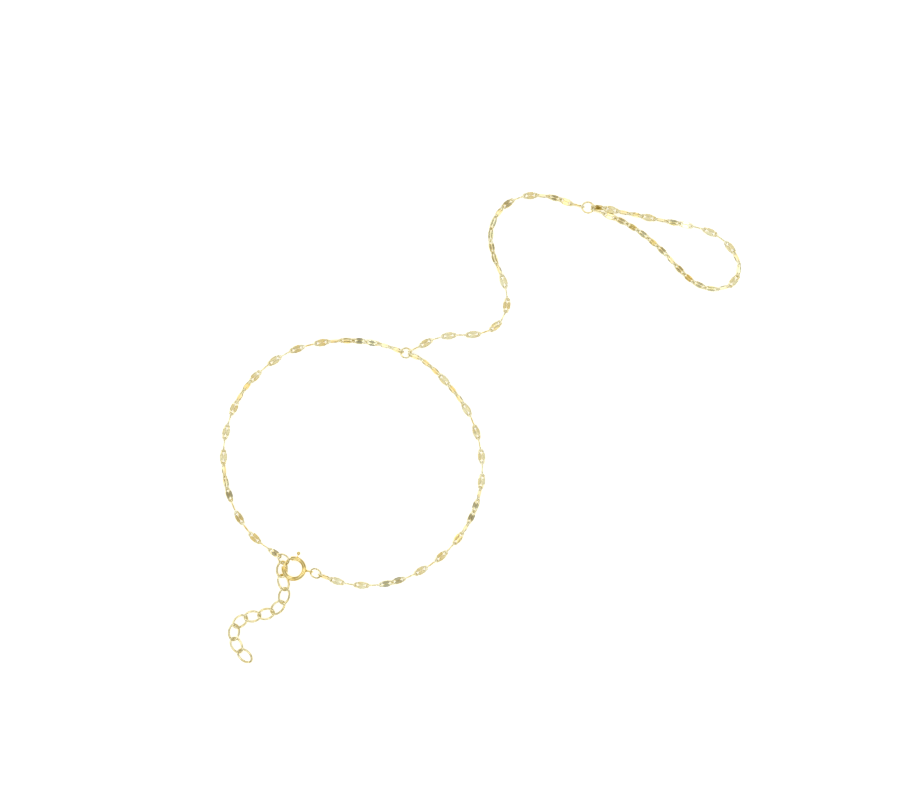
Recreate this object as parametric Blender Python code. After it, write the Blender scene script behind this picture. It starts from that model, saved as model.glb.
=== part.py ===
"""Hand chain: a bracelet, a connector and a finger loop of pressed lip links, with a spring-ring clasp.

It lies on a flat surface at z = 0, seen from above as it is worn on a left or right hand. Sizes are in metres.
"""

from math import atan2, ceil, cos, pi, radians, sin, tau

import bpy
from mathutils import Matrix, Vector

MM = 0.001

# Lip chain: flat almond links whose sides are pressed into two lobes, with a round eye at each end
LINK_PITCH = 2.5 * MM
LINK_WIDTH = 1.5 * MM
EYE_WIRE = 0.28 * MM
LOBE_WIDTH = 0.7 * MM
LOBE_THICKNESS = 0.2 * MM
LINK_BITE = 0.05 * MM
LINK_LIFT = 0.05 * MM
LARGEST_TURN_PLAY = radians(32)
RING_TURN_PLAY = radians(14)
TIP = radians(12)

# Jump rings
RING_WIRE = 0.34 * MM
RING_PLAY = 0.06 * MM
JUNCTION_RING_OUTER = 2.4 * MM
FINGER_RING_OUTER = 2.7 * MM
END_RING_OUTER = 2.7 * MM
TAIL_RING_OUTER = 2.5 * MM
JUNCTION_RING_AXIS = radians(0)
JUNCTION_RING_TILT = radians(18)
FINGER_RING_AXIS = radians(-8)
FINGER_RING_TILT = radians(22)
TAIL_RING_DROP = radians(12)
TAIL_RING_TILT = radians(38)

# Extender: curb links, each an oval that is twisted so that it lies flat
CURB_WIRE = 0.4 * MM
CURB_PITCH = 2.75 * MM
CURB_WIDTH = 2.5 * MM
CURB_BITE = 0.1 * MM
CURB_TWIST = 0.3 * MM
CURB_FIRST_ROLL = radians(-12)

# Spring-ring clasp: a hollow ring with a gap, a tongue that closes it, and a knob to pull it back
CLASP_OUTER = 5.0 * MM
CLASP_TUBE = 0.9 * MM
CLASP_BORE = 0.62 * MM
TONGUE_WIRE = 0.44 * MM
STEM_WIRE = 0.24 * MM
SLOT_WIDTH = 0.36 * MM
KNOB_DIAMETER = 0.76 * MM
KNOB_LIFT = 0.32 * MM
EYE_OUTER = 1.75 * MM
EYE_BITE = 0.275 * MM
CLASP_HEIGHT = 1.35 * MM
GAP_START = radians(106)
GAP_END = radians(169)
SOCKET_DEPTH = radians(9)
TONGUE_TIP = radians(172)
TONGUE_TAIL = radians(60)
KNOB_ANGLE = radians(73)
KNOB_TRAVEL = radians(58)
BORE_END = radians(-4)
BORE_OVERRUN = radians(5)
SLOT_SPARE = radians(8)
EYE_ANGLE = radians(-10)
TAIL_SWING = radians(-8)
END_RING_ANGLE = radians(138)
END_RING_TILT = radians(40)

# How far the middles of the knob and the tail eye lie from the clasp's
KNOB_REACH = (CLASP_OUTER + KNOB_DIAMETER) / 2 + KNOB_LIFT
EYE_REACH = (CLASP_OUTER + EYE_OUTER) / 2 - EYE_BITE

# Where the pieces lie, as (x, y) in plan units from the middle of the whole
PLAN_UNIT = 1.0 * MM
JUNCTION_PLACE = (-15.0, 14.8)
FINGER_RING_PLACE = (21.4, 43.9)
CLASP_PLACE = (-37.4, -28.3)

# Routes of the chains between their rings, as chosen points (x, y) in plan units
ROUTES = {
    "bracelet_chain_left": (
        (-45.2, -22.3), (-48.5, -18.0), (-50.6, -12.9), (-51.5, -7.5), (-51.2, -2.0), (-49.7, 3.2),
        (-47.0, 8.0), (-43.2, 11.9), (-38.6, 14.9), (-33.4, 16.6), (-27.9, 17.3), (-22.4, 17.0),
        (-18.9, 16.2),
    ),
    "bracelet_chain_right": (
        (-12.0, 13.6), (-8.5, 10.6), (-4.9, 6.5), (-2.0, 1.9), (-0.3, -3.3), (0.3, -8.7),
        (-0.5, -14.1), (-2.5, -19.2), (-5.7, -23.7), (-9.7, -27.3), (-14.5, -30.0), (-19.7, -31.5),
        (-25.2, -31.6), (-29.0, -30.8),
    ),
    "connector_chain": (
        (-12.6, 15.9), (-10.4, 17.2), (-6.6, 18.3), (-2.6, 18.4), (1.4, 19.1), (4.4, 21.7),
        (5.3, 25.6), (4.4, 29.5), (2.9, 33.2), (1.9, 37.1), (2.4, 41.0), (4.8, 44.3),
        (8.3, 46.1), (12.3, 46.3), (16.2, 45.4), (18.6, 44.4),
    ),
    "finger_chain": (
        (24.0, 43.9), (26.8, 43.3), (30.9, 42.4), (34.9, 41.6), (38.9, 40.8), (42.9, 40.0),
        (46.7, 38.6), (49.8, 36.0), (51.7, 32.4), (50.5, 28.7), (46.7, 27.5), (42.9, 28.7),
        (39.8, 31.4), (37.1, 34.4), (34.1, 37.2), (30.8, 39.7), (27.2, 41.6), (24.2, 42.8),
    ),
    "extender_chain": (
        (-39.9, -30.3), (-39.0, -33.1), (-40.0, -35.6), (-42.1, -37.3), (-44.9, -37.8),
        (-47.5, -38.2), (-49.3, -39.7), (-49.6, -42.3), (-48.3, -44.8), (-46.2, -46.7),
    ),
}

# How the base roll of the links drifts along each chain, as (link, degrees)
DRIFTS = {
    "bracelet_chain_left": ((0, 0), (3, 0), (5, 0), (9, 90), (13, 90), (16, 180), (22, 180), (25, 232), (28, 180)),
    "bracelet_chain_right": ((0, 0), (6, 180), (12, 180), (17, 270), (22, 270), (25, 360), (28, 360)),
    "connector_chain": ((0, 90), (11, 90), (13, 135), (17, 135), (19, 180), (20, 180), (24, 270)),
    "finger_chain": ((0, 0), (1, 100), (4, 180), (8, 270), (11, 270), (14, 360), (16, 405), (25, 405), (27, 360)),
}

# The bearings, in degrees, at which each lip chain leaves its first ring and its last
BEARINGS = {
    "bracelet_chain_left": (150, 165),
    "bracelet_chain_right": (-26, -19),
    "connector_chain": (28, 176),
    "finger_chain": (10, -32),
}
EXTENDER_BEARING = -120

# Links that lie tipped a little further than their neighbours
TIPPED = {
    "bracelet_chain_left": (4, 6, 20, 22, 24),
    "bracelet_chain_right": (4, 6, 8, 17),
    "connector_chain": (7, 17, 20),
    "finger_chain": (1, 11, 20),
}

# An upright link stands on its lobes, so this is how high the chains and the flat rings run
CHAIN_HEIGHT = LINK_WIDTH / 2 + LINK_LIFT

# Half of a lip link's outline, tip to tip: shares of its half length, half width and lobe swell
LIP_HALF = ((1.0, 0.43, 0.0), (0.86, 0.97, 0.08), (0.0, 1.0, 1.0), (-0.86, 0.97, 0.08), (-1.0, 0.43, 0.0))

LIP_WIRE_SIDES = 5
CURB_SIDES = 10
ROUND_SIDES = 12
RING_WIRE_SIDES = 6
TUBE_SIDES = 8
KNOB_ROWS = 6
KNOB_POLE = 0.04
ARC_STEP = radians(24)
ROUTE_STEPS = 24

# How closely the joints are spaced out: chord lengths to try, as shares of the mean, and times to halve between them
SHORTEST_CHORD = 0.8
LONGEST_CHORD = 1.001
CHORD_HALVINGS = 40
STEP_HALVINGS = 30

UP = Vector((0, 0, 1))
GOLD_COLOUR = (0.83, 0.62, 0.25, 1)


def gold(name):
    material = bpy.data.materials.new(name)
    material.use_nodes = True
    shader = material.node_tree.nodes["Principled BSDF"]
    shader.inputs["Base Color"].default_value = GOLD_COLOUR
    shader.inputs["Metallic"].default_value = 1
    shader.inputs["Roughness"].default_value = 0.2
    return material


def new_object(name, points, faces, helper=False):
    mesh = bpy.data.meshes.new(name)
    mesh.from_pydata(points, [], faces)
    mesh.update()
    made = bpy.data.objects.new(name, mesh)
    bpy.context.scene.collection.objects.link(made)
    if helper:
        made.hide_render = True
        made.display_type = "WIRE"
    else:
        mesh.materials.append(gold(name))
    return made


def boolean(target, other, operation):
    modifier = target.modifiers.new(operation.title(), "BOOLEAN")
    modifier.operation = operation
    modifier.solver = "EXACT"
    modifier.object = other


def across(start, end, share):
    return start + (end - start) * share


def swept(sections, closed):
    """Points and faces of a body through equal rings of points, either closed on itself or capped."""
    sides = len(sections[0])
    points = [point for section in sections for point in section]
    faces = []
    spans = len(sections) if closed else len(sections) - 1
    for i in range(spans):
        here = i * sides
        there = (i + 1) % len(sections) * sides
        for j in range(sides):
            after = (j + 1) % sides
            faces.append((here + j, here + after, there + after, there + j))
    if not closed:
        faces.append(tuple(reversed(range(sides))))
        faces.append(tuple(range((len(sections) - 1) * sides, len(sections) * sides)))
    return points, faces


def shaped_loop(outline, wire_sides):
    """A closed wire round an outline of (centre, half width, half thickness), which runs anticlockwise."""
    sections = []
    for i, (centre, half_width, half_thickness) in enumerate(outline):
        before = outline[i - 1][0]
        after = outline[(i + 1) % len(outline)][0]
        ahead = (after - centre).normalized() + (centre - before).normalized()
        outward = ahead.cross(UP).normalized()
        normal = ahead.cross(outward).normalized()
        section = []
        for j in range(wire_sides):
            angle = tau * j / wire_sides
            section.append(centre + outward * half_width * cos(angle) + normal * half_thickness * sin(angle))
        sections.append(section)
    return swept(sections, closed=True)


def hook(wire, bite):
    """How far a link's end passes the joint with its neighbour, so that their facing flats bite into each other."""
    return wire / 2 * cos(pi / LIP_WIRE_SIDES) - bite / 2


def lip_link(joint_span):
    """A pressed link in the XY plane, along X between two joints, as points and faces."""
    half_length = joint_span / 2 + hook(EYE_WIRE, LINK_BITE)
    half_width = (LINK_WIDTH - LOBE_WIDTH) / 2
    half = []
    for along, wide, swell in LIP_HALF:
        centre = Vector((along * half_length, wide * half_width, 0))
        half.append((centre, across(EYE_WIRE, LOBE_WIDTH, swell) / 2, across(EYE_WIRE, LOBE_THICKNESS, swell) / 2))
    other_half = [(Vector((-centre.x, -centre.y, 0)), wide, thick) for centre, wide, thick in half]
    return shaped_loop(half + other_half, LIP_WIRE_SIDES)


def curb_link(joint_span):
    """A twisted oval link, along X between two joints, as points and faces."""
    half_length = joint_span / 2 + hook(CURB_WIRE, CURB_BITE)
    outline = []
    for i in range(CURB_SIDES):
        angle = tau * (i + 0.5) / CURB_SIDES
        x = half_length / cos(pi / CURB_SIDES) * cos(angle)
        y = (CURB_WIDTH - CURB_WIRE) / 2 * sin(angle)
        outline.append((Vector((x, y, CURB_TWIST * sin(2 * angle))), CURB_WIRE / 2, CURB_WIRE / 2))
    return shaped_loop(outline, LIP_WIRE_SIDES)


def arc_body(radius, start, end, section):
    """A capped body along an arc about Z, whose section lists (outward, up) offsets from the arc."""
    steps = max(1, ceil(abs(end - start) / ARC_STEP))
    sections = []
    for i in range(steps + 1):
        angle = across(start, end, i / steps)
        outward = Vector((cos(angle), sin(angle), 0))
        ring = [outward * (radius + out) + UP * up for out, up in section]
        sections.append(ring if end < start else ring[::-1])
    return swept(sections, closed=False)


def round_section(diameter, sides):
    return [
        (diameter / 2 * cos(tau * (j + 0.5) / sides), diameter / 2 * sin(tau * (j + 0.5) / sides))
        for j in range(sides)
    ]


class Ring:
    """A jump ring, by its outer size, centre and the frame that it lies in."""

    def __init__(self, outer, centre, turn=None, wire=RING_WIRE):
        self.wire = wire
        self.radius = (outer - wire) / 2
        self.centre = centre
        self.turn = turn or Matrix.Identity(3)
        self.normal = self.turn @ UP

    def object(self, name):
        outline = []
        for i in range(ROUND_SIDES):
            angle = tau * (i + 0.5) / ROUND_SIDES
            place = Vector((cos(angle), sin(angle), 0)) * self.radius / cos(pi / ROUND_SIDES)
            outline.append((place, self.wire / 2, self.wire / 2))
        points, faces = shaped_loop(outline, RING_WIRE_SIDES)
        return new_object(name, [self.centre + self.turn @ point for point in points], faces)

    def seat(self, bearing, wire, bite):
        """Where a chain that leaves towards this bearing, in plan, has its end joint inside the ring."""
        flat = Vector((cos(bearing), sin(bearing), 0))
        toward = (flat - self.normal * flat.dot(self.normal)).normalized()
        inset = self.wire / 2 + wire / 2 + RING_PLAY - hook(wire, bite)
        return self.centre + toward * (self.radius - inset)


def smooth_route(points):
    """A Catmull-Rom curve through the points, as many short straight steps."""
    padded = [points[0] * 2 - points[1], *points, points[-1] * 2 - points[-2]]
    curve = []
    for a, b, c, d in zip(padded, padded[1:], padded[2:], padded[3:]):
        for i in range(ROUTE_STEPS):
            t = i / ROUTE_STEPS
            curve.append(
                b
                + (c - a) * (t / 2)
                + (a * 2 - b * 5 + c * 4 - d) * (t * t / 2)
                + (b * 3 - a - c * 3 + d) * (t**3 / 2)
            )
    curve.append(points[-1])
    return curve


def walk(curve, chord, count):
    """The joints met by stepping along the curve by equal chords."""
    joints = [curve[0]]
    for start, end in zip(curve, curve[1:]):
        while len(joints) <= count and (end - joints[-1]).length >= chord:
            near, far = 0.0, 1.0
            for _ in range(STEP_HALVINGS):
                middle = (near + far) / 2
                if (across(start, end, middle) - joints[-1]).length < chord:
                    near = middle
                else:
                    far = middle
            joints.append(across(start, end, far))
            start = joints[-1]
    return joints


def equal_joints(points, pitch):
    """Joints an equal chord apart from the first point to the last, as near the pitch as a whole number gives."""
    curve = smooth_route(points)
    length = sum((b - a).length for a, b in zip(curve, curve[1:]))
    count = max(2, round(length / pitch))
    mean = length / count
    short, long = SHORTEST_CHORD * mean, LONGEST_CHORD * mean
    for _ in range(CHORD_HALVINGS):
        chord = (short + long) / 2
        if len(walk(curve, chord, count)) > count:
            short = chord
        else:
            long = chord
    joints = walk(curve, short, count)
    joints[-1] = curve[-1]
    return joints


def link_frame(start, end, roll):
    """Places a link between two joints: X along it, rolled about X from lying flat."""
    ahead = (end - start).normalized()
    side = UP.cross(ahead).normalized()
    over = ahead.cross(side)
    wide = side * cos(roll) + over * sin(roll)
    return Matrix((ahead, wide, ahead.cross(wide))).transposed().to_4x4(), (start + end) / 2


def roll_across(ring, start, end):
    """The roll that stands a link square to the ring it passes through."""
    frame, _ = link_frame(start, end, 0)
    local = frame.to_3x3().transposed() @ ring.normal
    return atan2(local.z, local.y)


def drift_at(keys, link):
    for (first, low), (last, high) in zip(keys, keys[1:]):
        if link <= last:
            return radians(across(low, high, (link - first) / (last - first)))
    return radians(keys[-1][1])


def within_play(roll, square, play):
    """The roll, brought within this play of square. A link is the same half a turn on."""
    off = (roll - square + pi / 2) % pi - pi / 2
    return roll - off + max(-play, min(play, off))


def eased(rolls, order):
    """Keeps each link within the play of its neighbour's eye, which lets it stand near square to that."""
    for before, here in zip(order, order[1:]):
        rolls[here] = within_play(rolls[here], rolls[before] + pi / 2, LARGEST_TURN_PLAY)


def chain_of(name, links):
    """One fused body from links that bite into their neighbours: every second link joined to the rest."""
    halves = []
    for parity in (0, 1):
        points, faces = [], []
        for link_points, link_faces in links[parity::2]:
            faces += [tuple(len(points) + corner for corner in face) for face in link_faces]
            points += link_points
        halves.append(new_object(name if parity == 0 else name + "_others", points, faces, helper=parity == 1))
    boolean(halves[0], halves[1], "UNION")
    return halves[0]


def in_plan(place, height):
    x, y = place
    return Vector((x * PLAN_UNIT, y * PLAN_UNIT, height))


def route_points(name, height):
    return [in_plan(place, height) for place in ROUTES[name]]


def lip_chain(name, first_ring, last_ring):
    first_bearing, last_bearing = BEARINGS[name]
    first = first_ring.seat(radians(first_bearing), EYE_WIRE, LINK_BITE)
    last = last_ring.seat(radians(last_bearing), EYE_WIRE, LINK_BITE)
    joints = equal_joints([first, *route_points(name, CHAIN_HEIGHT), last], LINK_PITCH)
    spans = list(zip(joints, joints[1:]))
    rolls = [link * pi / 2 + drift_at(DRIFTS[name], link) for link in range(len(spans))]
    for link in TIPPED[name]:
        rolls[link] += TIP
    rolls[0] = within_play(rolls[0], roll_across(first_ring, *spans[0]), RING_TURN_PLAY)
    rolls[-1] = within_play(rolls[-1], roll_across(last_ring, *spans[-1]), RING_TURN_PLAY)
    order = list(range(len(spans)))
    eased(rolls, order[:-1])
    eased(rolls, order[:0:-1])
    links = []
    for (start, end), roll in zip(spans, rolls):
        turn, middle = link_frame(start, end, roll)
        points, faces = lip_link((end - start).length)
        links.append(([middle + turn.to_3x3() @ point for point in points], faces))
    return chain_of(name, links)


def extender_chain(end_ring):
    name = "extender_chain"
    first = end_ring.seat(radians(EXTENDER_BEARING), CURB_WIRE, CURB_BITE)
    height = CURB_TWIST + CURB_WIRE / 2
    joints = equal_joints([first, *route_points(name, height)], CURB_PITCH)
    links = []
    for i, (start, end) in enumerate(zip(joints, joints[1:])):
        turn, middle = link_frame(start, end, CURB_FIRST_ROLL if i == 0 else 0)
        points, faces = curb_link((end - start).length)
        links.append(([middle + turn.to_3x3() @ point for point in points], faces))
    return chain_of(name, links)


def placed(made, centre):
    made.location = centre
    return made


def clasp_body(centre, radius):
    """The hollow ring with its gap, socket, slot and the tail eye soldered on."""
    tube = arc_body(radius, GAP_START, GAP_END - tau, round_section(CLASP_TUBE, TUBE_SIDES))
    body = placed(new_object("clasp_body", *tube), centre)
    bore = round_section(CLASP_BORE, TUBE_SIDES)
    hollow = arc_body(radius, GAP_START + BORE_OVERRUN, BORE_END, bore)
    boolean(body, placed(new_object("clasp_hollow", *hollow, helper=True), centre), "DIFFERENCE")
    socket = arc_body(radius, GAP_END + SOCKET_DEPTH, GAP_END - BORE_OVERRUN, bore)
    boolean(body, placed(new_object("clasp_socket", *socket, helper=True), centre), "DIFFERENCE")
    half = SLOT_WIDTH / 2
    deep = CLASP_TUBE / 2 + half
    slot_section = [(0, half), (0, -half), (deep, -half), (deep, half)]
    slot_start = KNOB_ANGLE + SLOT_SPARE
    slot_end = KNOB_ANGLE - KNOB_TRAVEL - SLOT_SPARE
    slot = arc_body(radius, slot_start, slot_end, slot_section)
    boolean(body, placed(new_object("clasp_slot", *slot, helper=True), centre), "DIFFERENCE")
    outward = Vector((cos(EYE_ANGLE), sin(EYE_ANGLE), 0))
    turn = Matrix((outward, UP, outward.cross(UP))).transposed()
    eye = Ring(EYE_OUTER, centre + outward * EYE_REACH, turn, RING_WIRE)
    soldered = eye.object("tail_eye")
    soldered.hide_render = True
    soldered.display_type = "WIRE"
    boolean(body, soldered, "UNION")
    return eye


def clasp_trigger(centre, radius):
    """The tongue inside the ring, the stem through its slot and the knob, as one piece."""
    tongue = arc_body(radius, TONGUE_TIP, TONGUE_TAIL, round_section(TONGUE_WIRE, RING_WIRE_SIDES))
    trigger = placed(new_object("clasp_trigger", *tongue), centre)
    outward = Vector((cos(KNOB_ANGLE), sin(KNOB_ANGLE), 0))
    aside = UP.cross(outward)
    stem_rings = []
    for reach in (radius, KNOB_REACH):
        ring = [
            outward * reach + aside * out + UP * up
            for out, up in round_section(STEM_WIRE, RING_WIRE_SIDES)
        ]
        stem_rings.append(ring)
    stem = placed(new_object("trigger_stem", *swept(stem_rings, closed=False), helper=True), centre)
    boolean(trigger, stem, "UNION")
    knob_rings = []
    for row in range(KNOB_ROWS + 1):
        share = max(KNOB_POLE, min(1 - KNOB_POLE, row / KNOB_ROWS))
        height = -cos(pi * share) * KNOB_DIAMETER / 2
        wide = sin(pi * share) * KNOB_DIAMETER
        knob_rings.append([
            outward * (KNOB_REACH + height) + aside * out + UP * up
            for out, up in round_section(wide, TUBE_SIDES)
        ])
    knob = placed(new_object("trigger_knob", *swept(knob_rings, closed=False), helper=True), centre)
    boolean(trigger, knob, "UNION")


def tilted(about_bearing, tilt):
    """A turn that tips a flat ring about a level line with this bearing, its left side going down."""
    axis = Vector((cos(about_bearing), sin(about_bearing), 0))
    return Matrix.Rotation(-tilt, 3, axis)


def main():
    for old in list(bpy.data.objects):
        bpy.data.objects.remove(old, do_unlink=True)

    clasp_centre = in_plan(CLASP_PLACE, CLASP_HEIGHT)
    clasp_radius = (CLASP_OUTER - CLASP_TUBE) / 2
    eye = clasp_body(clasp_centre, clasp_radius)
    clasp_trigger(clasp_centre, clasp_radius)

    junction_turn = tilted(JUNCTION_RING_AXIS, JUNCTION_RING_TILT)
    junction = Ring(JUNCTION_RING_OUTER, in_plan(JUNCTION_PLACE, CHAIN_HEIGHT), junction_turn)
    junction.object("junction_ring")

    finger_turn = tilted(FINGER_RING_AXIS, FINGER_RING_TILT)
    finger = Ring(FINGER_RING_OUTER, in_plan(FINGER_RING_PLACE, CHAIN_HEIGHT), finger_turn)
    finger.object("finger_ring")

    end_radius = (END_RING_OUTER - RING_WIRE) / 2
    end_reach = clasp_radius - (TONGUE_WIRE + RING_WIRE) / 2 - RING_PLAY + end_radius
    end_bearing = Vector((cos(END_RING_ANGLE), sin(END_RING_ANGLE), 0))
    end = Ring(END_RING_OUTER, clasp_centre + end_bearing * end_reach, tilted(END_RING_ANGLE, END_RING_TILT))
    end.object("end_ring")

    tail_bearing = EYE_ANGLE + TAIL_SWING
    tail_out = Vector((cos(tail_bearing), sin(tail_bearing), 0))
    tail_radius = (TAIL_RING_OUTER - RING_WIRE) / 2
    tail_reach = EYE_OUTER / 2 - RING_WIRE * 1.5 - RING_PLAY + tail_radius * cos(TAIL_RING_DROP)
    tail_drop = UP * tail_radius * sin(TAIL_RING_DROP)
    tail_turn = tilted(tail_bearing - pi / 2, TAIL_RING_DROP) @ tilted(tail_bearing, TAIL_RING_TILT)
    tail = Ring(TAIL_RING_OUTER, eye.centre + tail_out * tail_reach - tail_drop, tail_turn)
    tail.object("tail_ring")

    lip_chain("bracelet_chain_left", end, junction)
    lip_chain("bracelet_chain_right", junction, tail)
    lip_chain("connector_chain", junction, finger)
    lip_chain("finger_chain", finger, finger)
    extender_chain(end)


main()
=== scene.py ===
from math import atan2, cos, pi, radians, sin, tau

import bmesh
import bpy
from mathutils import Matrix, Vector


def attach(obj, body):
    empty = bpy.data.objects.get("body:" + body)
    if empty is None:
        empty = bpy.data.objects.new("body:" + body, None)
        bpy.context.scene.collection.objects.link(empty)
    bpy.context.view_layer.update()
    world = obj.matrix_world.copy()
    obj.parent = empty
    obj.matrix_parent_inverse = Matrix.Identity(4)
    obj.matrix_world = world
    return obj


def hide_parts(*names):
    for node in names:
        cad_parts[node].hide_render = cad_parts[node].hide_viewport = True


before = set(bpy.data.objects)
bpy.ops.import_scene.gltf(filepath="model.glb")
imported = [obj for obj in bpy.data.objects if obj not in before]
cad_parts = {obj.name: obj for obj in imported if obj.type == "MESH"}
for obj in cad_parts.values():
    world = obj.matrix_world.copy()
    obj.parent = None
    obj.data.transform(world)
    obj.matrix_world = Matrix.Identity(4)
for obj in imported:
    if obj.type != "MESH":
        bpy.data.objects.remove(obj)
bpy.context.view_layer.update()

# Sizes of the hand chain, in metres
MM = 0.001
UP = Vector((0, 0, 1))

# Wires of the part's source, which set where the links and rings lie. Some wires are drawn a little heavier
# here, nearer to the width that the photo shows.
CAD_EYE_WIRE = 0.28 * MM
CAD_LINK_BITE = 0.05 * MM
CAD_RING_WIRE = 0.34 * MM
CAD_CURB_WIRE = 0.4 * MM
CAD_CURB_BITE = 0.1 * MM
CAD_WIRE_SIDES = 5

# Pressed lip link. A hook is how far a link's end passes its joint, as a share of its wire.
LINK_PITCH = 2.5 * MM
LINK_WIDTH = 1.5 * MM
EYE_WIRE = 0.38 * MM
EYE_BEND = 0.4 * MM
LOBE_WIDTH = 0.74 * MM
LOBE_THICKNESS = 0.3 * MM
LINK_LIFT = 0.05 * MM
CHAIN_HEIGHT = LINK_WIDTH / 2 + LINK_LIFT
LARGEST_TURN_PLAY = radians(32)
RING_TURN_PLAY = radians(14)
TIP = radians(12)
LINK_HOOK = 0.48
EYE_STEPS = 7
WIRE_SIDES = 12

# Along a side, from eye to eye: share of the way from the middle, and how far it has swelled into a lobe
LOBE_STATIONS = (
    (0.78, 0.05), (0.66, 0.45), (0.5, 0.82), (0.28, 0.97), (0.0, 1.0),
    (-0.28, 0.97), (-0.5, 0.82), (-0.66, 0.45), (-0.78, 0.05), (-1.0, 0.0),
)

# Share of a side that is polished as a lobe, from the middle
LOBE_SHARE = 0.7

# How much of its roundness a lobe loses. It is pressed near each station, from this share of its height up.
LOBE_FLATNESS = 0.92
STATION_REACH = 0.02
PRESSED_FROM = 0.25

# Jump rings
RING_WIRE = 0.38 * MM
RING_PLAY = 0.06 * MM
JUNCTION_RING_OUTER = 2.4 * MM
FINGER_RING_OUTER = 2.7 * MM
END_RING_OUTER = 2.7 * MM
TAIL_RING_OUTER = 2.5 * MM
JUNCTION_RING_AXIS = radians(0)
JUNCTION_RING_TILT = radians(18)
FINGER_RING_AXIS = radians(-8)
FINGER_RING_TILT = radians(22)
TAIL_RING_DROP = radians(12)
TAIL_RING_TILT = radians(38)
RING_JOINT = 0.03 * MM
RING_STEPS = 56
RING_SIDES = 14

# Curb links of the extender
CURB_WIRE = 0.48 * MM
CURB_PITCH = 2.75 * MM
CURB_WIDTH = 2.5 * MM
CURB_TWIST = 0.3 * MM
CURB_FIRST_ROLL = radians(-12)
CURB_HOOK = 0.47
CURB_STEPS = 9
CURB_BEVEL_STEPS = 3

# Spring-ring clasp
CLASP_OUTER = 5.0 * MM
CLASP_TUBE = 0.9 * MM
CLASP_BORE = 0.62 * MM
TONGUE_WIRE = 0.44 * MM
STEM_WIRE = 0.24 * MM
SLOT_WIDTH = 0.36 * MM
KNOB_DIAMETER = 0.76 * MM
KNOB_REACH = 3.2 * MM
EYE_OUTER = 1.75 * MM
EYE_REACH = 3.1 * MM
SOLDER_WIDTH = 0.6 * MM
SOLDER_STRETCH = 1.15
CLASP_HEIGHT = 1.35 * MM
GAP_START = radians(106)
GAP_END = radians(169)
SOCKET_DEPTH = radians(9)
TONGUE_TIP = radians(172)
TONGUE_TAIL = radians(60)
KNOB_ANGLE = radians(73)
KNOB_TRAVEL = radians(58)
BORE_END = radians(-4)
BORE_OVERRUN = radians(5)
SLOT_SPARE = radians(8)
EYE_ANGLE = radians(-10)
TAIL_BEARING = radians(-18)
END_RING_ANGLE = radians(138)
END_RING_TILT = radians(40)
SHELL_STEPS = 72
SHELL_SIDES = 24
BORE_STEPS = 40
BORE_SIDES = 20
SOCKET_STEPS = 6
SLOT_STEPS = 18
TAIL_EYE_STEPS = 40
TONGUE_STEPS = 30
BALL_SEGMENTS = 24
BALL_RINGS = 14

# Edges that turn by more than this, in degrees, stay crisp
LINK_CREASE = 50
CURB_CREASE = 60
RING_CREASE = 50
SHELL_CREASE = 35
TRIGGER_CREASE = 40

# Points nearer than this share of their wire are merged
SEAM = 0.01

# Where the pieces lie, as (x, y) in millimetres, as in the part's source
JUNCTION_PLACE = (-15.0, 14.8)
FINGER_RING_PLACE = (21.4, 43.9)
CLASP_PLACE = (-37.4, -28.3)

ROUTES = {
    "bracelet_chain_left": (
        (-45.2, -22.3), (-48.5, -18.0), (-50.6, -12.9), (-51.5, -7.5), (-51.2, -2.0), (-49.7, 3.2),
        (-47.0, 8.0), (-43.2, 11.9), (-38.6, 14.9), (-33.4, 16.6), (-27.9, 17.3), (-22.4, 17.0),
        (-18.9, 16.2),
    ),
    "bracelet_chain_right": (
        (-12.0, 13.6), (-8.5, 10.6), (-4.9, 6.5), (-2.0, 1.9), (-0.3, -3.3), (0.3, -8.7),
        (-0.5, -14.1), (-2.5, -19.2), (-5.7, -23.7), (-9.7, -27.3), (-14.5, -30.0), (-19.7, -31.5),
        (-25.2, -31.6), (-29.0, -30.8),
    ),
    "connector_chain": (
        (-12.6, 15.9), (-10.4, 17.2), (-6.6, 18.3), (-2.6, 18.4), (1.4, 19.1), (4.4, 21.7),
        (5.3, 25.6), (4.4, 29.5), (2.9, 33.2), (1.9, 37.1), (2.4, 41.0), (4.8, 44.3),
        (8.3, 46.1), (12.3, 46.3), (16.2, 45.4), (18.6, 44.4),
    ),
    "finger_chain": (
        (24.0, 43.9), (26.8, 43.3), (30.9, 42.4), (34.9, 41.6), (38.9, 40.8), (42.9, 40.0),
        (46.7, 38.6), (49.8, 36.0), (51.7, 32.4), (50.5, 28.7), (46.7, 27.5), (42.9, 28.7),
        (39.8, 31.4), (37.1, 34.4), (34.1, 37.2), (30.8, 39.7), (27.2, 41.6), (24.2, 42.8),
    ),
    "extender_chain": (
        (-39.9, -30.3), (-39.0, -33.1), (-40.0, -35.6), (-42.1, -37.3), (-44.9, -37.8),
        (-47.5, -38.2), (-49.3, -39.7), (-49.6, -42.3), (-48.3, -44.8), (-46.2, -46.7),
    ),
}

# How the base roll of the links drifts along each chain, as (link, degrees)
DRIFTS = {
    "bracelet_chain_left": (
        (0, 0), (3, 0), (5, 0), (9, 90), (13, 90), (16, 180), (22, 180), (25, 232), (28, 180),
    ),
    "bracelet_chain_right": ((0, 0), (6, 180), (12, 180), (17, 270), (22, 270), (25, 360), (28, 360)),
    "connector_chain": ((0, 90), (11, 90), (13, 135), (17, 135), (19, 180), (20, 180), (24, 270)),
    "finger_chain": (
        (0, 0), (1, 100), (4, 180), (8, 270), (11, 270), (14, 360), (16, 405), (25, 405), (27, 360),
    ),
}

# The bearings, in degrees, at which each lip chain leaves its first ring and its last
BEARINGS = {
    "bracelet_chain_left": (150, 165),
    "bracelet_chain_right": (-26, -19),
    "connector_chain": (28, 176),
    "finger_chain": (10, -32),
}
EXTENDER_BEARING = -120

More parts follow.
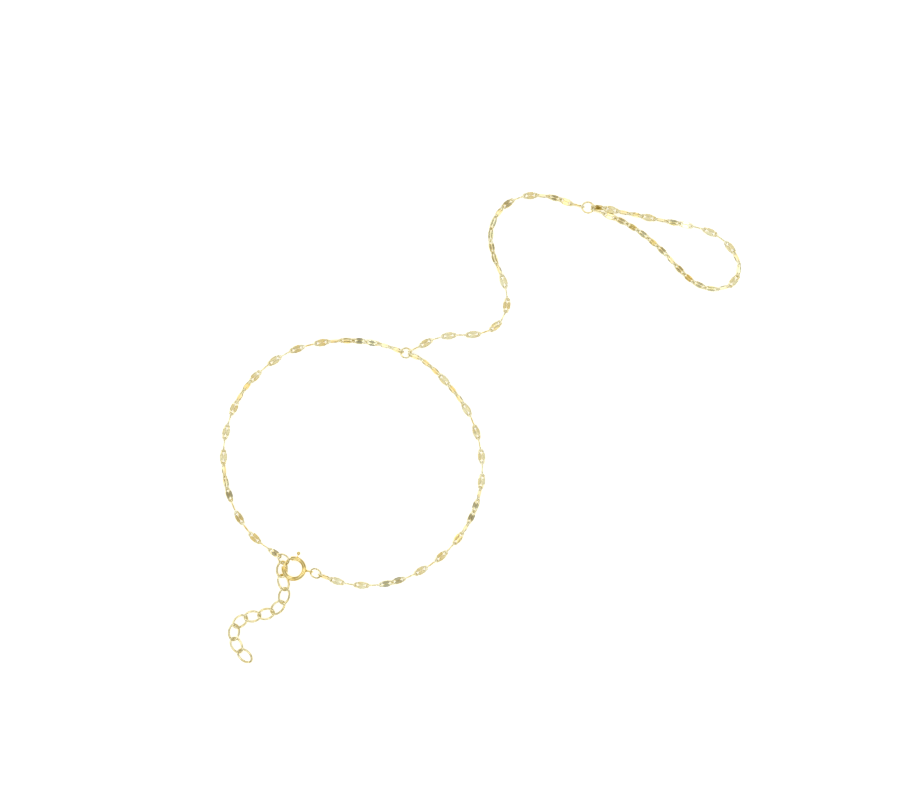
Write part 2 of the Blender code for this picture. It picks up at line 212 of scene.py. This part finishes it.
# Links that lie tipped a little further than their neighbours
TIPPED = {
    "bracelet_chain_left": (4, 6, 20, 22, 24),
    "bracelet_chain_right": (4, 6, 8, 17),
    "connector_chain": (7, 17, 20),
    "finger_chain": (1, 11, 20),
}

ROUTE_STEPS = 24

# How closely the joints are spaced out: chord lengths to try, as shares of the mean, and times to halve
SHORTEST_CHORD = 0.8
LONGEST_CHORD = 1.001
CHORD_HALVINGS = 40
STEP_HALVINGS = 30

# Golds: a deep and a bright tone, the length of a patch of tone, the roughness where smooth and where worn,
# how the fine scratches are stretched and how strongly they show
GOLDS = {
    "pressed_gold": (
        (0.79, 0.61, 0.23, 1), (0.93, 0.91, 0.63, 1), 5 * MM, 0.12, 0.22, (1, 1, 1), 0.3,
    ),
    "link_wire_gold": (
        (0.85, 0.75, 0.43, 1), (0.95, 0.91, 0.67, 1), 2 * MM, 0.14, 0.26, (1, 1, 1), 0.35,
    ),
    "drawn_wire_gold": (
        (0.78, 0.67, 0.35, 1), (0.91, 0.84, 0.55, 1), 1.6 * MM, 0.1, 0.2, (1, 1, 4), 0.2,
    ),
    "polished_clasp_gold": (
        (0.78, 0.57, 0.18, 1), (0.93, 0.79, 0.38, 1), 1.6 * MM, 0.07, 0.15, (1, 1, 3), 0.12,
    ),
}
WEAR_GRAIN = 0.35 * MM
SCRATCH_GRAIN = 0.12 * MM
SCRATCH_DEPTH = 0.01 * MM

# A noise below the first of these is all the low tone, above the second all the high tone
TONE_FROM = 0.35
TONE_TO = 0.65

# Floor, in metres
FLOOR_SIZE = 2.4
FLOOR_TONE = 0.93
FLOOR_ROUGHNESS = 0.9
FLOOR_GLOW = 0.5

# Room: how bright it is by height, from level to straight overhead, and how uneven
ROOM_BELOW = (0.5, 0.49, 0.46, 1)
ROOM_HEIGHTS = ((0.55, 0.55), (0.8, 0.55), (0.88, 1.0), (0.94, 1.0), (0.965, 1.0))
ROOM_BLUE = 0.97
ROOM_GRAIN = 8
ROOM_DIM = 0.4
ROOM_BRIGHT = 1.25

# Lamps: bearing and height in degrees, distance and size in metres, power in watts
LAMPS = {
    "light_left": (160, 48, 1.1, 0.7, 1.8),
    "light_back": (70, 42, 1.2, 0.5, 1.2),
    "light_right": (-20, 52, 1.1, 0.5, 1.2),
    "light_front": (-110, 40, 1.2, 0.6, 1.2),
}

# Camera, straight above the flat-laid chain
PICTURE_MIDDLE = (-6.2 * MM, 4.9 * MM)
PICTURE_WIDTH = 180 * MM
LENS = 180
SENSOR = 36
CLIP_NEAR = 0.05
CLIP_FAR = 10


def alone(piece):
    bpy.ops.object.select_all(action="DESELECT")
    piece.select_set(True)
    bpy.context.view_layer.objects.active = piece


def together(pieces):
    alone(pieces[0])
    for piece in pieces:
        piece.select_set(True)


def settle_place():
    """Writes the place, turn and size of the selected pieces into their meshes."""
    bpy.ops.object.transform_apply(location=True, rotation=True, scale=True)


def edit(piece):
    alone(piece)
    bpy.ops.object.mode_set(mode="EDIT")
    bpy.ops.mesh.select_mode(type="VERT")


def done():
    bpy.ops.object.mode_set(mode="OBJECT")


def pick(piece, chosen):
    """Selects, in edit mode, the points that the test accepts."""
    mesh = bmesh.from_edit_mesh(piece.data)
    for point in mesh.verts:
        point.select_set(chosen(point.co))
    mesh.select_flush_mode()
    bmesh.update_edit_mesh(piece.data)


def outward_faces():
    bpy.ops.mesh.select_all(action="SELECT")
    bpy.ops.mesh.normals_make_consistent(inside=False)


def polish(piece, angle):
    alone(piece)
    bpy.ops.object.shade_smooth_by_angle(angle=radians(angle))


def finished(piece, finish):
    piece.data.materials.clear()
    piece.data.materials.append(finish)
    return piece


# Modelling: the pressed lip link

def across(start, end, share):
    return start + (end - start) * share


def press_side(eye_x, side):
    """Draws the wire on from one eye to the other, swelling into a lobe on the way."""
    run = eye_x if side > 0 else -eye_x
    from_x, from_y, from_wide, from_thick = run, side * EYE_BEND, EYE_WIRE, EYE_WIRE
    for along, swell in LOBE_STATIONS:
        x = run * along
        y = side * across(EYE_BEND, (LINK_WIDTH - LOBE_WIDTH) / 2, swell)
        wide = across(EYE_WIRE, LOBE_WIDTH, swell)
        thick = across(EYE_WIRE, LOBE_THICKNESS, swell)
        bpy.ops.mesh.extrude_region_move(TRANSFORM_OT_translate={"value": (x - from_x, y - from_y, 0)})
        bpy.ops.transform.resize(value=(1, wide / from_wide, thick / from_thick), center_override=(x, y, 0))
        from_x, from_y, from_wide, from_thick = x, y, wide, thick


def flatten_lobes(link, eye_x):
    """Presses the round top and bottom of each lobe to a flat."""
    close = eye_x * STATION_REACH
    for along, swell in LOBE_STATIONS[:-1]:
        level = across(EYE_WIRE, LOBE_THICKNESS, swell) / 2
        for over in (1, -1):
            low = level * PRESSED_FROM
            pick(link, lambda co: abs(co.x - eye_x * along) < close and co.z * over > low)
            flat = 1 - swell * LOBE_FLATNESS
            bpy.ops.transform.resize(value=(1, 1, flat), center_override=(0, 0, over * level))


def pressed_link(wire_finish, lobe_finish):
    """One lip link, flat along X with its middle at the origin, for a full pitch."""
    tip = LINK_PITCH / 2 + EYE_WIRE * LINK_HOOK
    eye_x = tip - EYE_BEND
    bpy.ops.mesh.primitive_circle_add(
        vertices=WIRE_SIDES, radius=EYE_WIRE / 2, location=(eye_x, -EYE_BEND, 0), rotation=(0, pi / 2, 0)
    )
    link = bpy.context.object
    settle_place()
    edit(link)
    bpy.ops.mesh.select_all(action="SELECT")
    bpy.ops.mesh.spin(steps=EYE_STEPS, angle=pi, center=(eye_x, 0, 0), axis=(0, 0, -1))
    press_side(eye_x, 1)
    bpy.ops.mesh.spin(steps=EYE_STEPS, angle=pi, center=(-eye_x, 0, 0), axis=(0, 0, -1))
    press_side(eye_x, -1)
    flatten_lobes(link, eye_x)
    bpy.ops.mesh.select_all(action="SELECT")
    bpy.ops.mesh.remove_doubles(threshold=EYE_WIRE * SEAM)
    outward_faces()
    link.data.materials.append(wire_finish)
    link.data.materials.append(lobe_finish)
    pick(link, lambda co: abs(co.x) < eye_x * LOBE_SHARE)
    link.active_material_index = 1
    bpy.ops.object.material_slot_assign()
    done()
    polish(link, LINK_CREASE)
    return link


# Modelling: the twisted curb link

def curb_link():
    """One curb link along X, its middle at the origin, for a full pitch: an oval, twisted to lie flat."""
    half_length = CURB_PITCH / 2 + CURB_WIRE * CURB_HOOK
    half_width = (CURB_WIDTH - CURB_WIRE) / 2
    bpy.ops.curve.primitive_bezier_circle_add(radius=1, location=(0, 0, 0))
    link = bpy.context.object
    loop = link.data.splines[0]
    # The wire rises to three quarters of its handles' height
    lift = (CURB_TWIST - (CURB_WIRE - CAD_CURB_WIRE) / 2) * 4 / 3
    for point in loop.bezier_points:
        point.handle_left_type = "FREE"
        point.handle_right_type = "FREE"
    for point in loop.bezier_points:
        # It rises and falls twice round the oval, so the handles of opposite quarters go the same way
        for handle in ("handle_left", "handle_right"):
            place = getattr(point, handle)
            quarter = 1 if place.x * place.y > 0 else -1
            setattr(point, handle, Vector((place.x * half_length, place.y * half_width, lift * quarter)))
        point.co = Vector((point.co.x * half_length, point.co.y * half_width, 0))
    link.data.dimensions = "3D"
    link.data.resolution_u = CURB_STEPS
    link.data.bevel_depth = CURB_WIRE / 2
    link.data.bevel_resolution = CURB_BEVEL_STEPS
    alone(link)
    bpy.ops.object.convert(target="MESH")
    link = bpy.context.object
    edit(link)
    outward_faces()
    done()
    polish(link, CURB_CREASE)
    return link


# Placing the links along the chains, as the part's source does

def hook(wire, bite):
    """How far a link's end passes its joint in the part's source."""
    return wire / 2 * cos(pi / CAD_WIRE_SIDES) - bite / 2


class Ring:
    """Where a jump ring lies: its middle, its wire's radius and the plane that it lies in."""

    def __init__(self, outer, centre, turn):
        self.radius = (outer - CAD_RING_WIRE) / 2
        self.centre = centre
        self.turn = turn
        self.normal = self.turn @ UP

    def seat(self, bearing, wire, bite):
        """Where a chain that leaves towards this bearing, in plan, has its end joint inside the ring."""
        flat = Vector((cos(bearing), sin(bearing), 0))
        toward = (flat - self.normal * flat.dot(self.normal)).normalized()
        inset = CAD_RING_WIRE / 2 + wire / 2 + RING_PLAY - hook(wire, bite)
        return self.centre + toward * (self.radius - inset)


def smooth_route(points):
    """A Catmull-Rom curve through the points, as many short straight steps."""
    padded = [points[0] * 2 - points[1], *points, points[-1] * 2 - points[-2]]
    curve = []
    for a, b, c, d in zip(padded, padded[1:], padded[2:], padded[3:]):
        for i in range(ROUTE_STEPS):
            t = i / ROUTE_STEPS
            curve.append(
                b
                + (c - a) * (t / 2)
                + (a * 2 - b * 5 + c * 4 - d) * (t * t / 2)
                + (b * 3 - a - c * 3 + d) * (t**3 / 2)
            )
    curve.append(points[-1])
    return curve


def walk(curve, chord, count):
    """The joints met by stepping along the curve by equal chords."""
    joints = [curve[0]]
    for start, end in zip(curve, curve[1:]):
        while len(joints) <= count and (end - joints[-1]).length >= chord:
            near, far = 0.0, 1.0
            for _ in range(STEP_HALVINGS):
                middle = (near + far) / 2
                if (across(start, end, middle) - joints[-1]).length < chord:
                    near = middle
                else:
                    far = middle
            joints.append(across(start, end, far))
            start = joints[-1]
    return joints


def equal_joints(points, pitch):
    """Joints an equal chord apart from first point to last, as near the pitch as a whole number gives."""
    curve = smooth_route(points)
    length = sum((b - a).length for a, b in zip(curve, curve[1:]))
    count = max(2, round(length / pitch))
    short = SHORTEST_CHORD * length / count
    long = LONGEST_CHORD * length / count
    for _ in range(CHORD_HALVINGS):
        chord = (short + long) / 2
        if len(walk(curve, chord, count)) > count:
            short = chord
        else:
            long = chord
    joints = walk(curve, short, count)
    joints[-1] = curve[-1]
    return joints


def link_frame(start, end, roll):
    """Places a link between two joints: X along it, rolled about X from lying flat."""
    ahead = (end - start).normalized()
    side = UP.cross(ahead).normalized()
    over = ahead.cross(side)
    wide = side * cos(roll) + over * sin(roll)
    return Matrix((ahead, wide, ahead.cross(wide))).transposed().to_4x4(), (start + end) / 2


def roll_across(ring, start, end):
    """The roll that stands a link square to the ring it passes through."""
    turn, _ = link_frame(start, end, 0)
    local = turn.to_3x3().transposed() @ ring.normal
    return atan2(local.z, local.y)


def drift_at(keys, link):
    for (first, low), (last, high) in zip(keys, keys[1:]):
        if link <= last:
            return radians(across(low, high, (link - first) / (last - first)))
    return radians(keys[-1][1])


def within_play(roll, square, play):
    """The roll, brought within this play of square. A link is the same half a turn on."""
    off = (roll - square + pi / 2) % pi - pi / 2
    return roll - off + max(-play, min(play, off))


def eased(rolls, order):
    """Keeps each link within the play of its neighbour's eye, which lets it stand near square to that."""
    for before, here in zip(order, order[1:]):
        rolls[here] = within_play(rolls[here], rolls[before] + pi / 2, LARGEST_TURN_PLAY)


def in_plan(place, height):
    x, y = place
    return Vector((x * MM, y * MM, height))


def route_points(name, height):
    return [in_plan(place, height) for place in ROUTES[name]]


def lay_links(name, link, spans, rolls, pitch, hooks):
    """Copies the link into each span between two joints and joins the copies into one strand."""
    copies = []
    for (start, end), roll in zip(spans, rolls):
        turn, middle = link_frame(start, end, roll)
        alone(link)
        bpy.ops.object.duplicate()
        copy = bpy.context.object
        stretch = ((end - start).length + hooks) / (pitch + hooks)
        copy.matrix_world = Matrix.Translation(middle) @ turn @ Matrix.Diagonal((stretch, 1, 1, 1))
        copies.append(copy)
    together(copies)
    settle_place()
    bpy.ops.object.join()
    strand = bpy.context.object
    strand.name = name
    return strand


def lip_strand(name, node, link, first_ring, last_ring):
    first_bearing, last_bearing = BEARINGS[node]
    first = first_ring.seat(radians(first_bearing), CAD_EYE_WIRE, CAD_LINK_BITE)
    last = last_ring.seat(radians(last_bearing), CAD_EYE_WIRE, CAD_LINK_BITE)
    joints = equal_joints([first, *route_points(node, CHAIN_HEIGHT), last], LINK_PITCH)
    spans = list(zip(joints, joints[1:]))
    rolls = [i * pi / 2 + drift_at(DRIFTS[node], i) for i in range(len(spans))]
    for i in TIPPED[node]:
        rolls[i] += TIP
    rolls[0] = within_play(rolls[0], roll_across(first_ring, *spans[0]), RING_TURN_PLAY)
    rolls[-1] = within_play(rolls[-1], roll_across(last_ring, *spans[-1]), RING_TURN_PLAY)
    order = list(range(len(spans)))
    eased(rolls, order[:-1])
    eased(rolls, order[:0:-1])
    return lay_links(name, link, spans, rolls, LINK_PITCH, EYE_WIRE * LINK_HOOK * 2)


def extender_strand(name, link, end_ring):
    first = end_ring.seat(radians(EXTENDER_BEARING), CAD_CURB_WIRE, CAD_CURB_BITE)
    height = CURB_TWIST + CAD_CURB_WIRE / 2
    joints = equal_joints([first, *route_points("extender_chain", height)], CURB_PITCH)
    spans = list(zip(joints, joints[1:]))
    rolls = [CURB_FIRST_ROLL] + [0] * (len(spans) - 1)
    return lay_links(name, link, spans, rolls, CURB_PITCH, CURB_WIRE * CURB_HOOK * 2)


# Modelling: bent round wire for the jump rings and the clasp

def bent_wire(name, radius, wire, start, end, steps, sides):
    """A capped round wire bent about Z from one bearing anticlockwise to the other."""
    bpy.ops.mesh.primitive_circle_add(
        vertices=sides,
        radius=wire / 2,
        location=(radius * cos(start), radius * sin(start), 0),
        rotation=(pi / 2, 0, start),
    )
    bent = bpy.context.object
    bent.name = name
    settle_place()
    edit(bent)
    bpy.ops.mesh.select_all(action="SELECT")
    bpy.ops.mesh.spin(steps=steps, angle=end - start, center=(0, 0, 0), axis=(0, 0, -1))
    bpy.ops.mesh.select_all(action="SELECT")
    bpy.ops.mesh.fill_holes(sides=0)
    outward_faces()
    done()
    return bent


def set_down(piece, centre, turn=None):
    """Turns a finished piece, moves it to its place and writes both into its mesh."""
    alone(piece)
    piece.matrix_world = Matrix.Translation(centre) @ (turn or Matrix.Identity(3)).to_4x4()
    settle_place()


def jump_ring(name, ring, joint_bearing):
    """A ring of bent wire whose cut ends meet in a fine joint."""
    joint = RING_JOINT / ring.radius
    start = radians(joint_bearing) + joint / 2
    end = start + tau - joint
    made = bent_wire(name, ring.radius, RING_WIRE, start, end, RING_STEPS, RING_SIDES)
    set_down(made, ring.centre, ring.turn)
    polish(made, RING_CREASE)
    return made


def carve(piece, cutter, operation="DIFFERENCE"):
    """Cuts the second piece out of the first, or joins it on, and takes it away."""
    cut = piece.modifiers.new(operation.title(), "BOOLEAN")
    cut.operation = operation
    cut.solver = "EXACT"
    cut.object = cutter
    alone(piece)
    bpy.ops.object.modifier_apply(modifier=cut.name)
    bpy.data.objects.remove(cutter, do_unlink=True)


def slot_cutter(radius):
    """A flat band through the outer wall of the clasp, where the knob travels."""
    start = KNOB_ANGLE - KNOB_TRAVEL - SLOT_SPARE
    end = KNOB_ANGLE + SLOT_SPARE
    reach = CLASP_TUBE / 2 + SLOT_WIDTH / 2
    middle = radius + reach / 2
    bpy.ops.mesh.primitive_plane_add(
        size=1, location=(middle * cos(start), middle * sin(start), 0), rotation=(pi / 2, 0, start)
    )
    band = bpy.context.object
    band.scale = (reach, SLOT_WIDTH, 1)
    settle_place()
    edit(band)
    bpy.ops.mesh.select_all(action="SELECT")
    bpy.ops.mesh.spin(steps=SLOT_STEPS, angle=end - start, center=(0, 0, 0), axis=(0, 0, -1))
    bpy.ops.mesh.select_all(action="SELECT")
    outward_faces()
    done()
    return band


def solder_bead():
    """The bead of solder where the tail eye meets the shell, drawn out along the eye."""
    outward = Vector((cos(EYE_ANGLE), sin(EYE_ANGLE), 0))
    bpy.ops.mesh.primitive_uv_sphere_add(
        segments=BALL_SEGMENTS,
        ring_count=BALL_RINGS,
        radius=SOLDER_WIDTH / 2,
        location=outward * (CLASP_OUTER / 2),
        rotation=(0, pi / 2, EYE_ANGLE),
        scale=(1, 1, SOLDER_STRETCH),
    )
    bead = bpy.context.object
    settle_place()
    return bead


def clasp_shell(centre, radius):
    """The hollow spring ring with its gap, socket and slot, and the tail eye soldered on."""
    start = GAP_END - tau
    shell = bent_wire("clasp_shell", radius, CLASP_TUBE, start, GAP_START, SHELL_STEPS, SHELL_SIDES)
    bore_start = GAP_START + BORE_OVERRUN
    carve(shell, bent_wire("bore", radius, CLASP_BORE, BORE_END, bore_start, BORE_STEPS, BORE_SIDES))
    mouth = GAP_END - BORE_OVERRUN
    bottom = GAP_END + SOCKET_DEPTH
    carve(shell, bent_wire("socket", radius, CLASP_BORE, mouth, bottom, SOCKET_STEPS, BORE_SIDES))
    carve(shell, slot_cutter(radius))
    outward = Vector((cos(EYE_ANGLE), sin(EYE_ANGLE), 0))
    turn = Matrix((outward, UP, outward.cross(UP))).transposed()
    eye_radius = (EYE_OUTER - CAD_RING_WIRE) / 2
    eye = bent_wire("tail_eye", eye_radius, CAD_RING_WIRE, 0, tau, TAIL_EYE_STEPS, RING_SIDES)
    edit(eye)
    bpy.ops.mesh.select_all(action="SELECT")
    bpy.ops.mesh.remove_doubles(threshold=RING_WIRE * SEAM)
    outward_faces()
    done()
    set_down(eye, outward * EYE_REACH, turn)
    carve(shell, eye, "UNION")
    carve(shell, solder_bead(), "UNION")
    set_down(shell, centre)
    polish(shell, SHELL_CREASE)
    return shell


def clasp_trigger(centre, radius):
    """The tongue inside the ring, the stem through its slot and the knob to pull it by."""
    tongue = bent_wire(
        "clasp_trigger", radius, TONGUE_WIRE, TONGUE_TAIL, TONGUE_TIP, TONGUE_STEPS, RING_SIDES
    )
    outward = Vector((cos(KNOB_ANGLE), sin(KNOB_ANGLE), 0))
    middle = outward * (radius + KNOB_REACH) / 2
    bpy.ops.mesh.primitive_cylinder_add(
        vertices=RING_SIDES,
        radius=STEM_WIRE / 2,
        depth=KNOB_REACH - radius,
        location=middle,
        rotation=(0, pi / 2, KNOB_ANGLE),
    )
    stem = bpy.context.object
    settle_place()
    carve(tongue, stem, "UNION")
    bpy.ops.mesh.primitive_uv_sphere_add(
        segments=BALL_SEGMENTS,
        ring_count=BALL_RINGS,
        radius=KNOB_DIAMETER / 2,
        location=outward * KNOB_REACH,
        rotation=(0, pi / 2, KNOB_ANGLE),
    )
    knob = bpy.context.object
    settle_place()
    carve(tongue, knob, "UNION")
    set_down(tongue, centre)
    polish(tongue, TRIGGER_CREASE)
    return tongue


# Materials

def grain(tree, place, size, stretch=(1, 1, 1), detail=3):
    """A noise whose grains are about this long, in metres."""
    turned = tree.nodes.new("ShaderNodeMapping")
    turned.inputs["Scale"].default_value = stretch
    tree.links.new(place.outputs["Object"], turned.inputs["Vector"])
    noise = tree.nodes.new("ShaderNodeTexNoise")
    noise.inputs["Scale"].default_value = 1 / size
    noise.inputs["Detail"].default_value = detail
    tree.links.new(turned.outputs["Vector"], noise.inputs["Vector"])
    return noise


def toned(tree, noise, low, high):
    """Turns a noise into a run between two colours, or two greys."""
    ramp = tree.nodes.new("ShaderNodeValToRGB")
    ramp.color_ramp.elements[0].position = TONE_FROM
    ramp.color_ramp.elements[1].position = TONE_TO
    ramp.color_ramp.elements[0].color = low
    ramp.color_ramp.elements[1].color = high
    tree.links.new(noise.outputs["Fac"], ramp.inputs["Fac"])
    return ramp


def grey(value):
    return (value, value, value, 1)


def gold(name):
    """A gold whose tone, polish and fine scratches vary over its surface."""
    deep, bright, patch, smooth, worn, scratch, strength = GOLDS[name]
    material = bpy.data.materials.new(name)
    material.use_nodes = True
    tree = material.node_tree
    shader = tree.nodes["Principled BSDF"]
    shader.inputs["Metallic"].default_value = 1
    shader.inputs["Base Color"].default_value = bright
    shader.inputs["Roughness"].default_value = smooth
    place = tree.nodes.new("ShaderNodeTexCoord")
    tone = toned(tree, grain(tree, place, patch), deep, bright)
    tree.links.new(tone.outputs["Color"], shader.inputs["Base Color"])
    wear = toned(tree, grain(tree, place, WEAR_GRAIN, detail=5), grey(smooth), grey(worn))
    tree.links.new(wear.outputs["Color"], shader.inputs["Roughness"])
    marks = grain(tree, place, SCRATCH_GRAIN, stretch=scratch, detail=6)
    bump = tree.nodes.new("ShaderNodeBump")
    bump.inputs["Strength"].default_value = strength
    bump.inputs["Distance"].default_value = SCRATCH_DEPTH
    tree.links.new(marks.outputs["Fac"], bump.inputs["Height"])
    tree.links.new(bump.outputs["Normal"], shader.inputs["Normal"])
    return material


def dress(piece, body, node):
    """Hangs the piece on the empty of the body that it rides on, and hides the part's node that it stands
    in for.
    """
    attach(piece, body)
    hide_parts(node)


# Stage, light and camera

def pale_floor():
    bpy.ops.mesh.primitive_plane_add(size=FLOOR_SIZE, location=(PICTURE_MIDDLE[0], PICTURE_MIDDLE[1], 0))
    floor = bpy.context.object
    floor.name = "floor"
    material = bpy.data.materials.new("floor_white")
    material.use_nodes = True
    shader = material.node_tree.nodes["Principled BSDF"]
    shader.inputs["Base Color"].default_value = grey(FLOOR_TONE)
    shader.inputs["Roughness"].default_value = FLOOR_ROUGHNESS
    shader.inputs["Emission Color"].default_value = (1, 1, 1, 1)
    shader.inputs["Emission Strength"].default_value = FLOOR_GLOW
    floor.data.materials.append(material)


def soft_light(name, bearing, height, distance, size, power):
    """A square soft lamp, aimed at the middle of the picture from this bearing and height angle."""
    middle = Vector((PICTURE_MIDDLE[0], PICTURE_MIDDLE[1], 0))
    away = Vector((
        cos(radians(bearing)) * cos(radians(height)),
        sin(radians(bearing)) * cos(radians(height)),
        sin(radians(height)),
    ))
    bpy.ops.object.light_add(type="AREA", location=middle + away * distance)
    lamp = bpy.context.object
    lamp.name = name
    lamp.data.shape = "SQUARE"
    lamp.data.size = size
    lamp.data.energy = power
    lamp.rotation_euler = away.to_track_quat("Z", "Y").to_euler()


def studio():
    """A pale room, bright overhead and dim at the sides, with uneven walls and four soft lamps."""
    world = bpy.data.worlds.new("studio")
    bpy.context.scene.world = world
    world.use_nodes = True
    tree = world.node_tree
    background = tree.nodes["Background"]
    background.inputs["Strength"].default_value = 1
    place = tree.nodes.new("ShaderNodeTexCoord")
    apart = tree.nodes.new("ShaderNodeSeparateXYZ")
    tree.links.new(place.outputs["Generated"], apart.inputs["Vector"])
    height = tree.nodes.new("ShaderNodeValToRGB")
    for position, brightness in ROOM_HEIGHTS:
        stop = height.color_ramp.elements.new(position)
        stop.color = (brightness, brightness, brightness * ROOM_BLUE, 1)
    height.color_ramp.elements.remove(height.color_ramp.elements[-1])
    height.color_ramp.elements[0].color = ROOM_BELOW
    tree.links.new(apart.outputs["Z"], height.inputs["Fac"])
    noise = tree.nodes.new("ShaderNodeTexNoise")
    noise.inputs["Scale"].default_value = ROOM_GRAIN
    noise.inputs["Detail"].default_value = 1
    tree.links.new(place.outputs["Generated"], noise.inputs["Vector"])
    uneven = toned(tree, noise, grey(ROOM_DIM), grey(ROOM_BRIGHT))
    both = tree.nodes.new("ShaderNodeMix")
    both.data_type = "RGBA"
    both.blend_type = "MULTIPLY"
    both.inputs["Factor"].default_value = 1
    tree.links.new(height.outputs["Color"], both.inputs["A"])
    tree.links.new(uneven.outputs["Color"], both.inputs["B"])
    tree.links.new(both.outputs["Result"], background.inputs["Color"])
    for name, (bearing, height_angle, distance, size, power) in LAMPS.items():
        soft_light(name, bearing, height_angle, distance, size, power)


def camera_above():
    bpy.ops.object.camera_add(
        location=(PICTURE_MIDDLE[0], PICTURE_MIDDLE[1], CHAIN_HEIGHT + PICTURE_WIDTH * LENS / SENSOR),
        rotation=(0, 0, 0),
    )
    camera = bpy.context.object
    camera.name = "camera"
    camera.data.lens = LENS
    camera.data.sensor_width = SENSOR
    camera.data.clip_start = CLIP_NEAR
    camera.data.clip_end = CLIP_FAR
    bpy.context.scene.camera = camera


def tilted(about_bearing, tilt):
    """A turn that tips a flat ring about a level line with this bearing, its left side going down."""
    return Matrix.Rotation(-tilt, 3, Vector((cos(about_bearing), sin(about_bearing), 0)))


def laid_rings(clasp_centre, clasp_radius):
    """Where the four jump rings lie: wrist junction, finger loop, clasp end and tail eye."""
    junction_turn = tilted(JUNCTION_RING_AXIS, JUNCTION_RING_TILT)
    junction = Ring(JUNCTION_RING_OUTER, in_plan(JUNCTION_PLACE, CHAIN_HEIGHT), junction_turn)

    finger_turn = tilted(FINGER_RING_AXIS, FINGER_RING_TILT)
    finger = Ring(FINGER_RING_OUTER, in_plan(FINGER_RING_PLACE, CHAIN_HEIGHT), finger_turn)

    end_radius = (END_RING_OUTER - CAD_RING_WIRE) / 2
    end_reach = clasp_radius - (TONGUE_WIRE + CAD_RING_WIRE) / 2 - RING_PLAY + end_radius
    end_bearing = Vector((cos(END_RING_ANGLE), sin(END_RING_ANGLE), 0))
    end_turn = tilted(END_RING_ANGLE, END_RING_TILT)
    end = Ring(END_RING_OUTER, clasp_centre + end_bearing * end_reach, end_turn)

    eye_centre = clasp_centre + Vector((cos(EYE_ANGLE), sin(EYE_ANGLE), 0)) * EYE_REACH
    tail_out = Vector((cos(TAIL_BEARING), sin(TAIL_BEARING), 0))
    tail_radius = (TAIL_RING_OUTER - CAD_RING_WIRE) / 2
    # Inside the tail eye lie all of its own wire and half of the ring's
    tail_reach = EYE_OUTER / 2 - CAD_RING_WIRE * 1.5 - RING_PLAY + tail_radius * cos(TAIL_RING_DROP)
    tail_drop = UP * tail_radius * sin(TAIL_RING_DROP)
    tail_turn = tilted(TAIL_BEARING - pi / 2, TAIL_RING_DROP) @ tilted(TAIL_BEARING, TAIL_RING_TILT)
    tail = Ring(TAIL_RING_OUTER, eye_centre + tail_out * tail_reach - tail_drop, tail_turn)
    return junction, finger, end, tail


def main():
    bpy.ops.object.select_all(action="DESELECT")
    bpy.context.scene.view_settings.view_transform = "Standard"
    camera_above()
    pale_floor()
    studio()

    clasp_centre = in_plan(CLASP_PLACE, CLASP_HEIGHT)
    clasp_radius = (CLASP_OUTER - CLASP_TUBE) / 2
    junction, finger, end, tail = laid_rings(clasp_centre, clasp_radius)
    pressed, eyes, drawn, polished = [gold(name) for name in GOLDS]

    lip = pressed_link(eyes, pressed)
    strands = (
        ("left_bracelet_links", "bracelet_chain_left", end, junction),
        ("right_bracelet_links", "bracelet_chain_right", junction, tail),
        ("connector_links", "connector_chain", junction, finger),
        ("finger_loop_links", "finger_chain", finger, finger),
    )
    for name, node, first, last in strands:
        dress(lip_strand(name, node, lip, first, last), "hand_chain", node)
    bpy.data.objects.remove(lip, do_unlink=True)

    curb = curb_link()
    dress(finished(extender_strand("extender_links", curb, end), drawn), "hand_chain", "extender_chain")
    bpy.data.objects.remove(curb, do_unlink=True)

    # The last number is the bearing, in degrees, of the fine joint where the ring's wire meets itself
    rings = (
        ("junction_jump_ring", "junction_ring", junction, 250),
        ("finger_jump_ring", "finger_ring", finger, 90),
        ("end_jump_ring", "end_ring", end, 70),
        ("tail_jump_ring", "tail_ring", tail, 60),
    )
    for name, node, ring, joint_bearing in rings:
        dress(finished(jump_ring(name, ring, joint_bearing), drawn), "hand_chain", node)

    dress(finished(clasp_shell(clasp_centre, clasp_radius), polished), "hand_chain", "clasp_body")
    dress(finished(clasp_trigger(clasp_centre, clasp_radius), polished), "trigger", "clasp_trigger")


main()
